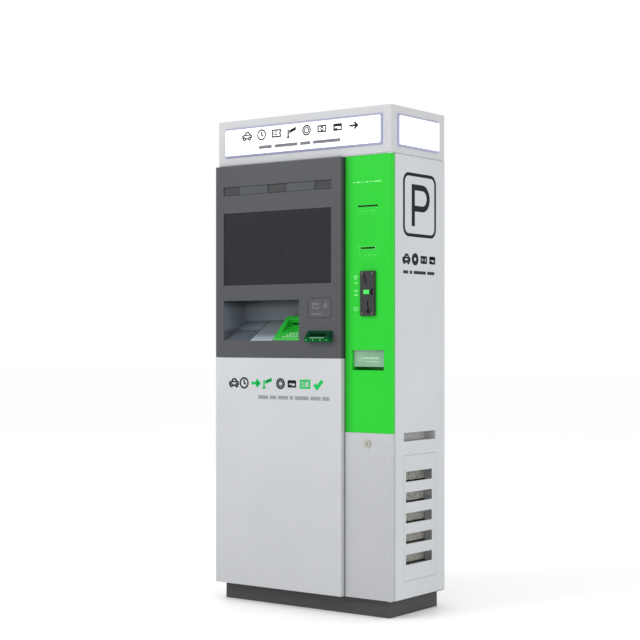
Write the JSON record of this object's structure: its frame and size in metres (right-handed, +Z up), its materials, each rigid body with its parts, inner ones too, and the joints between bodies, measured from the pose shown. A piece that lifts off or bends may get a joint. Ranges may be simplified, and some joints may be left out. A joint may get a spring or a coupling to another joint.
{
  "type": "parking pay station",
  "caption": "Floor-standing parking pay station: lit header sign, wide main door with screen, note and card units, and a narrow green column door for coins and tickets.",
  "frame": {"origin": "centre of the plinth's floor face, at floor level", "axes": "+X to the station's right as its user sees it, +Y from the doors back to the rear panel, +Z up"},
  "size_m": [0.784, 0.3905, 1.76],
  "materials": {
    "white_header_paint": "fine satin powder coat",
    "lit_sign": "opal acrylic, lit from inside",
    "white_paint": "fine satin powder coat",
    "dark_paint": "fine satin powder coat",
    "green_paint": "satin powder coat",
    "plinth_paint": "textured powder coat",
    "zinc_steel": "zinc-plated sheet",
    "bright_steel": "brushed",
    "lock_metal": "satin nickel",
    "dark_window": "smoked acrylic",
    "touch_glass": "polished glass with a faint fingerprint haze",
    "dark_plastic": "fine texture",
    "alcove_plastic": "satin moulded plastic",
    "green_plastic": "translucent moulded plastic",
    "lit_button": "translucent, lit from behind",
    "dark_green_plastic": "smooth moulded plastic",
    "reader_face": "satin",
    "coin_plate_metal": "matt black-grey",
    "flap_plastic": "translucent",
    "filter_foam": "coarse open mat",
    "led_board": "white board with LEDs",
    "power_case": "plain sheet",
    "breaker_plastic": "smooth",
    "controller_metal": "black anodised",
    "vault_paint": "hammered paint",
    "paper": "plain thermal paper"
  },
  "bodies": {
    "cabinet": {"plinth": "plinth_paint", "cabinet_floor": "plinth_paint", "left_side_panel": "white_paint", "right_side_panel": "white_paint", "rear_panel": "white_paint", "roof_panel": "zinc_steel", "centre_post": "zinc_steel", "header_housing": "white_header_paint", "header_lid": "white_header_paint", "sign_diffusers": "lit_sign", "sign_led_bars": "led_board", "pivot_pins": "bright_steel", "vent_cover": "white_paint", "filter_mat": "filter_foam", "vent_ducts": "white_paint", "fan_frame": "dark_plastic", "power_supply": "power_case", "breaker": "breaker_plastic", "controller": "controller_metal", "coin_vault": "vault_paint", "coin_chute": "power_case", "cable_gland": "dark_plastic", "column_strike": "zinc_steel", "latch_guides": "zinc_steel", "rear_screws": "bright_steel"},
    "main_door": {"upper_fascia": "dark_paint", "lower_skin": "white_paint", "main_door_stiles": "zinc_steel", "camera_strip": "dark_paint", "strip_windows": "dark_window", "camera_module": "dark_plastic", "display_panel": "dark_plastic", "touch_glass": "touch_glass", "alcove_shell": "alcove_plastic", "steel_lip": "bright_steel", "receipt_printer": "dark_plastic", "banknote_acceptor": "dark_plastic", "banknote_bezel": "green_plastic", "banknote_cashbox": "vault_paint", "contactless_reader": "reader_face", "card_reader_bezel": "dark_green_plastic", "card_reader_module": "dark_plastic", "door_latch_pins": "zinc_steel"},
    "column_door": {"column_fascia": "green_paint", "column_lower_skin": "white_paint", "coin_plate": "coin_plate_metal", "coin_acceptor": "dark_plastic", "coin_plate_screws": "bright_steel", "return_cup": "green_plastic", "ticket_reader": "green_plastic", "receipt_slit_printer": "dark_plastic", "lock_body": "lock_metal"},
    "paper_roll": {"paper_roll": "paper"},
    "return_button": {"return_button": "lit_button"},
    "return_flap": {"return_flap": "flap_plastic"},
    "lock_plug": {"lock_plug": "lock_metal"},
    "fan_rotor": {"fan_rotor": "dark_plastic"},
    "breaker_toggle": {"breaker_toggle": "dark_plastic"},
    "latch_bar": {"latch_bar": "zinc_steel"},
    "latch_lever": {"latch_lever": "zinc_steel"}
  },
  "joints": [
    {"name": "main_door_hinge", "type": "hinge", "parent": "cabinet", "child": "main_door", "pos_m": [-0.375, -0.1655, 0.827], "axis": [0, 0, -1], "range_deg": [0, 105]},
    {"name": "column_door_hinge", "type": "hinge", "parent": "cabinet", "child": "column_door", "pos_m": [0.375, -0.1655, 0.827], "axis": [0, 0, 1], "range_deg": [0, 100]},
    {"name": "lock_turn", "type": "hinge", "parent": "column_door", "child": "lock_plug", "pos_m": [0.287, -0.1525, 0.596], "axis": [0, 1, 0], "range_deg": [0, 90]},
    {"name": "latch_lever_turn", "type": "hinge", "parent": "cabinet", "child": "latch_lever", "pos_m": [0.188, -0.1285, 0.46], "axis": [1, 0, 0], "range_deg": [0, 50]},
    {"name": "latch_bar_slide", "type": "slide", "parent": "cabinet", "child": "latch_bar", "axis": [0, 0, 1], "range_m": [0, 0.02123]},
    {"name": "return_flap_hinge", "type": "hinge", "parent": "column_door", "child": "return_flap", "pos_m": [0.287, -0.162, 0.924], "axis": [1, 0, 0], "range_deg": [0, 50]},
    {"name": "return_button_press", "type": "slide", "parent": "column_door", "child": "return_button", "axis": [0, 1, 0], "range_m": [0, 0.003], "stiffness_N_per_m": 500, "springref_m": -0.002},
    {"name": "fan_spin", "type": "hinge", "parent": "cabinet", "child": "fan_rotor", "pos_m": [0.321, 0.008, 0.337], "axis": [1, 0, 0], "continuous": true},
    {"name": "paper_roll_spin", "type": "hinge", "parent": "main_door", "child": "paper_roll", "pos_m": [-0.2825, -0.1085, 0.866], "axis": [1, 0, 0], "continuous": true},
    {"name": "breaker_toggle_turn", "type": "hinge", "parent": "cabinet", "child": "breaker_toggle", "pos_m": [-0.02, 0.1075, 0.342], "axis": [-1, 0, 0], "range_deg": [0, 40]}
  ],
  "couplings": [
    {"joint": "latch_bar_slide", "follows": "latch_lever_turn", "m_per_rad": 0.024214}
  ]
}
